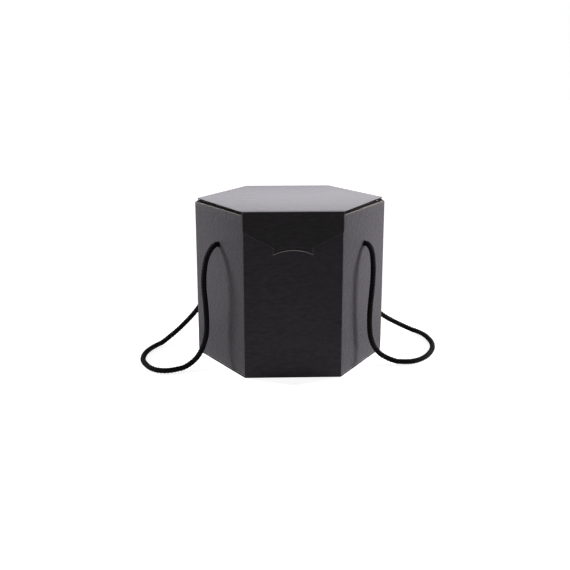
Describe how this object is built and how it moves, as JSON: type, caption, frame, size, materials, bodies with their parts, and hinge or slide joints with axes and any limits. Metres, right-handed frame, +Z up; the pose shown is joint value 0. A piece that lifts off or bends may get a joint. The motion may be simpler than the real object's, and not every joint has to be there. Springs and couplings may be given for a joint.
{
  "type": "gift box",
  "caption": "Six-sided folding carton with a hinged tuck lid locked by a tongue behind a curved lip, folding dust flaps, and a long rope handle on each side.",
  "frame": {"origin": "middle of the box on the surface that it stands on, half way between the front and the back fold lines and half way between the left and the right corner", "axes": "+Z up, -Y towards the front panel with the tuck slot, +X towards the viewer's right, from the left corner to the right corner"},
  "size_m": [0.3663, 0.1958, 0.193],
  "materials": {
    "outer_board": "matt, faintly ribbed",
    "inner_board": "matt",
    "rope": "braided, slight sheen"
  },
  "bodies": {
    "box": {"front_panel": "outer_board", "front_right_panel": "outer_board", "back_right_panel": "outer_board", "back_panel": "outer_board", "back_left_panel": "outer_board", "front_left_panel": "outer_board", "base_front_flap": "outer_board", "base_back_flap": "outer_board", "glue_tab": "inner_board", "base_front_right_flap": "inner_board", "base_back_right_flap": "inner_board", "base_back_left_flap": "inner_board", "base_front_left_flap": "inner_board", "left_rope": "rope", "right_rope": "rope", "left_rope_front_knot": "rope", "left_rope_back_knot": "rope", "right_rope_front_knot": "rope", "right_rope_back_knot": "rope"},
    "lid": {"lid_panel": "outer_board"},
    "front_flap": {"lid_front_flap": "outer_board", "lock_tongue": "outer_board"},
    "front_right_dust_flap": {"front_right_dust_flap": "outer_board"},
    "back_right_dust_flap": {"back_right_dust_flap": "outer_board"},
    "back_left_dust_flap": {"back_left_dust_flap": "outer_board"},
    "front_left_dust_flap": {"front_left_dust_flap": "outer_board"}
  },
  "joints": [
    {"name": "lid_hinge", "type": "hinge", "parent": "box", "child": "lid", "pos_m": [0, 0.097, 0.193], "axis": [-1, 0, 0], "range_deg": [0, 180]},
    {"name": "front_flap_fold", "type": "hinge", "parent": "lid", "child": "front_flap", "pos_m": [0, -0.0988, 0.193], "axis": [-1, 0, 0], "range_deg": [0, 90]},
    {"name": "front_right_dust_fold", "type": "hinge", "parent": "box", "child": "front_right_dust_flap", "pos_m": [0.0845, -0.0485, 0.189], "axis": [0.5197, 0.8544, 0], "range_deg": [0, 90]},
    {"name": "back_right_dust_fold", "type": "hinge", "parent": "box", "child": "back_right_dust_flap", "pos_m": [0.0845, 0.0485, 0.189], "axis": [-0.5197, 0.8544, 0], "range_deg": [0, 90]},
    {"name": "back_left_dust_fold", "type": "hinge", "parent": "box", "child": "back_left_dust_flap", "pos_m": [-0.0845, 0.0485, 0.189], "axis": [-0.5197, -0.8544, 0], "range_deg": [0, 90]},
    {"name": "front_left_dust_fold", "type": "hinge", "parent": "box", "child": "front_left_dust_flap", "pos_m": [-0.0845, -0.0485, 0.189], "axis": [0.5197, -0.8544, 0], "range_deg": [0, 90]}
  ],
  "couplings": [
    {"joint": "front_flap_fold", "follows": "lid_hinge", "ratio": 0.5},
    {"joint": "front_right_dust_fold", "follows": "lid_hinge", "ratio": 0.5},
    {"joint": "back_right_dust_fold", "follows": "lid_hinge", "ratio": 0.5},
    {"joint": "back_left_dust_fold", "follows": "lid_hinge", "ratio": 0.5},
    {"joint": "front_left_dust_fold", "follows": "lid_hinge", "ratio": 0.5}
  ]
}
